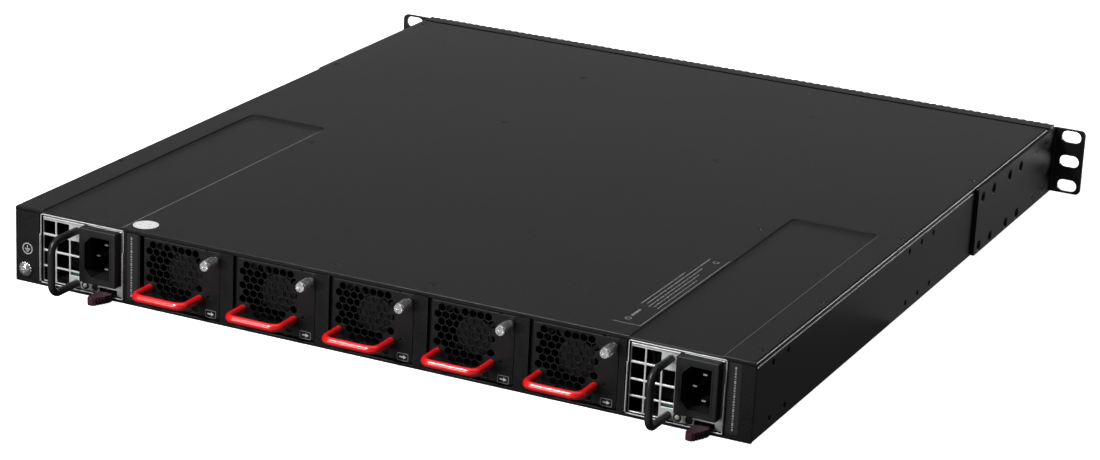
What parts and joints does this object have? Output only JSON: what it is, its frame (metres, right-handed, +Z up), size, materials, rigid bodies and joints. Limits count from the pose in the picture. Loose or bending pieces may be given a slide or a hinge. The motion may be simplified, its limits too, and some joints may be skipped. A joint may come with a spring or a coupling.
{
  "type": "rackmount network switch",
  "caption": "Flat one-unit rack chassis with front port cages and, at the rear, pull-out fan modules beside hot-swap power supplies with mains inlets.",
  "frame": {"origin": "centre of the chassis footprint, on the underside", "axes": "+Y towards the rear, where the fan modules and power supplies are; +Z up; +X to the left as seen from the rear"},
  "size_m": [0.4826, 0.5157, 0.0436],
  "materials": {
    "cover_paint": "satin powder coat",
    "chassis_paint": "fine-textured powder coat",
    "zinc_steel": "bright zinc plate",
    "nickel": "bright nickel plate",
    "red_handle": "gloss red coating",
    "maroon_latch": "satin moulded",
    "black_plastic": "fine matte moulded",
    "black_handle": "satin black coating",
    "fan_plastic": "satin moulded",
    "circuit_board": "solder mask",
    "chip_package": "moulded package",
    "heat_sink": "bare extruded",
    "lamp_lens": "clear moulded"
  },
  "bodies": {
    "root": {"top_cover": "cover_paint", "chassis_base": "chassis_paint", "front_panel": "chassis_paint", "rack_bracket_left": "chassis_paint", "rack_bracket_right": "chassis_paint", "fan_cage": "chassis_paint", "supply_bay_left": "zinc_steel", "supply_bay_right": "zinc_steel", "port_cage_1": "zinc_steel", "port_cage_2": "zinc_steel", "port_cage_3": "zinc_steel", "port_cage_4": "zinc_steel", "management_jack": "zinc_steel", "main_board": "circuit_board", "fan_board": "circuit_board", "cpu_module": "circuit_board", "switch_chip": "chip_package", "switch_heat_sink": "heat_sink", "cpu_heat_sink": "heat_sink", "ground_screw": "nickel"},
    "fan_1": {"fan_1_tray": "chassis_paint", "fan_1_housing": "fan_plastic", "fan_1_handle": "red_handle"},
    "fan_1_rotor": {"fan_1_rotor": "fan_plastic"},
    "fan_1_thumbscrew": {"fan_1_thumbscrew": "nickel"},
    "fan_2": {"fan_2_tray": "chassis_paint", "fan_2_housing": "fan_plastic", "fan_2_handle": "red_handle"},
    "fan_2_rotor": {"fan_2_rotor": "fan_plastic"},
    "fan_2_thumbscrew": {"fan_2_thumbscrew": "nickel"},
    "fan_3": {"fan_3_tray": "chassis_paint", "fan_3_housing": "fan_plastic", "fan_3_handle": "red_handle"},
    "fan_3_rotor": {"fan_3_rotor": "fan_plastic"},
    "fan_3_thumbscrew": {"fan_3_thumbscrew": "nickel"},
    "fan_4": {"fan_4_tray": "chassis_paint", "fan_4_housing": "fan_plastic", "fan_4_handle": "red_handle"},
    "fan_4_rotor": {"fan_4_rotor": "fan_plastic"},
    "fan_4_thumbscrew": {"fan_4_thumbscrew": "nickel"},
    "fan_5": {"fan_5_tray": "chassis_paint", "fan_5_housing": "fan_plastic", "fan_5_handle": "red_handle"},
    "fan_5_rotor": {"fan_5_rotor": "fan_plastic"},
    "fan_5_thumbscrew": {"fan_5_thumbscrew": "nickel"},
    "supply_left": {"supply_left_case": "zinc_steel", "supply_left_inlet": "black_plastic", "supply_left_handle": "black_handle", "supply_left_lens": "lamp_lens", "supply_left_fan_housing": "fan_plastic"},
    "supply_left_latch": {"supply_left_latch": "maroon_latch"},
    "supply_left_fan_rotor": {"supply_left_fan_rotor": "fan_plastic"},
    "supply_right": {"supply_right_case": "zinc_steel", "supply_right_inlet": "black_plastic", "supply_right_handle": "black_handle", "supply_right_lens": "lamp_lens", "supply_right_fan_housing": "fan_plastic"},
    "supply_right_latch": {"supply_right_latch": "maroon_latch"},
    "supply_right_fan_rotor": {"supply_right_fan_rotor": "fan_plastic"}
  },
  "joints": [
    {"name": "fan_1_slide", "type": "slide", "parent": "root", "child": "fan_1", "axis": [0, 1, 0], "range_m": [0, 0.055]},
    {"name": "fan_1_rotor_spin", "type": "hinge", "parent": "fan_1", "child": "fan_1_rotor", "pos_m": [0.1162, 0.2363, 0.0217], "axis": [0, 1, 0], "continuous": true},
    {"name": "fan_1_thumbscrew_turn", "type": "hinge", "parent": "fan_1", "child": "fan_1_thumbscrew", "pos_m": [0.0918, 0.245, 0.0359], "axis": [0, 1, 0], "continuous": true},
    {"name": "fan_2_slide", "type": "slide", "parent": "root", "child": "fan_2", "axis": [0, 1, 0], "range_m": [0, 0.055]},
    {"name": "fan_2_rotor_spin", "type": "hinge", "parent": "fan_2", "child": "fan_2_rotor", "pos_m": [0.0576, 0.2363, 0.0217], "axis": [0, 1, 0], "continuous": true},
    {"name": "fan_2_thumbscrew_turn", "type": "hinge", "parent": "fan_2", "child": "fan_2_thumbscrew", "pos_m": [0.0332, 0.245, 0.0359], "axis": [0, 1, 0], "continuous": true},
    {"name": "fan_3_slide", "type": "slide", "parent": "root", "child": "fan_3", "axis": [0, 1, 0], "range_m": [0, 0.055]},
    {"name": "fan_3_rotor_spin", "type": "hinge", "parent": "fan_3", "child": "fan_3_rotor", "pos_m": [-0.001, 0.2363, 0.0217], "axis": [0, 1, 0], "continuous": true},
    {"name": "fan_3_thumbscrew_turn", "type": "hinge", "parent": "fan_3", "child": "fan_3_thumbscrew", "pos_m": [-0.0254, 0.245, 0.0359], "axis": [0, 1, 0], "continuous": true},
    {"name": "fan_4_slide", "type": "slide", "parent": "root", "child": "fan_4", "axis": [0, 1, 0], "range_m": [0, 0.055]},
    {"name": "fan_4_rotor_spin", "type": "hinge", "parent": "fan_4", "child": "fan_4_rotor", "pos_m": [-0.0596, 0.2363, 0.0217], "axis": [0, 1, 0], "continuous": true},
    {"name": "fan_4_thumbscrew_turn", "type": "hinge", "parent": "fan_4", "child": "fan_4_thumbscrew", "pos_m": [-0.084, 0.245, 0.0359], "axis": [0, 1, 0], "continuous": true},
    {"name": "fan_5_slide", "type": "slide", "parent": "root", "child": "fan_5", "axis": [0, 1, 0], "range_m": [0, 0.055]},
    {"name": "fan_5_rotor_spin", "type": "hinge", "parent": "fan_5", "child": "fan_5_rotor", "pos_m": [-0.1182, 0.2363, 0.0217], "axis": [0, 1, 0], "continuous": true},
    {"name": "fan_5_thumbscrew_turn", "type": "hinge", "parent": "fan_5", "child": "fan_5_thumbscrew", "pos_m": [-0.1426, 0.245, 0.0359], "axis": [0, 1, 0], "continuous": true},
    {"name": "supply_left_slide", "type": "slide", "parent": "root", "child": "supply_left", "axis": [0, 1, 0], "range_m": [0, 0.215]},
    {"name": "supply_left_latch_press", "type": "hinge", "parent": "supply_left", "child": "supply_left_latch", "pos_m": [0.16, 0.215, 0.0039], "axis": [0, 0, 1], "range_deg": [-5, 0], "stiffness_Nm_per_rad": 1, "springref_deg": 2.86},
    {"name": "supply_left_fan_spin", "type": "hinge", "parent": "supply_left", "child": "supply_left_fan_rotor", "pos_m": [0.177, 0.2, 0.0219], "axis": [0, 1, 0], "continuous": true},
    {"name": "supply_right_slide", "type": "slide", "parent": "root", "child": "supply_right", "axis": [0, 1, 0], "range_m": [0, 0.215]},
    {"name": "supply_right_latch_press", "type": "hinge", "parent": "supply_right", "child": "supply_right_latch", "pos_m": [-0.194, 0.215, 0.0039], "axis": [0, 0, 1], "range_deg": [-5, 0], "stiffness_Nm_per_rad": 1, "springref_deg": 2.86},
    {"name": "supply_right_fan_spin", "type": "hinge", "parent": "supply_right", "child": "supply_right_fan_rotor", "pos_m": [-0.177, 0.2, 0.0219], "axis": [0, 1, 0], "continuous": true}
  ]
}
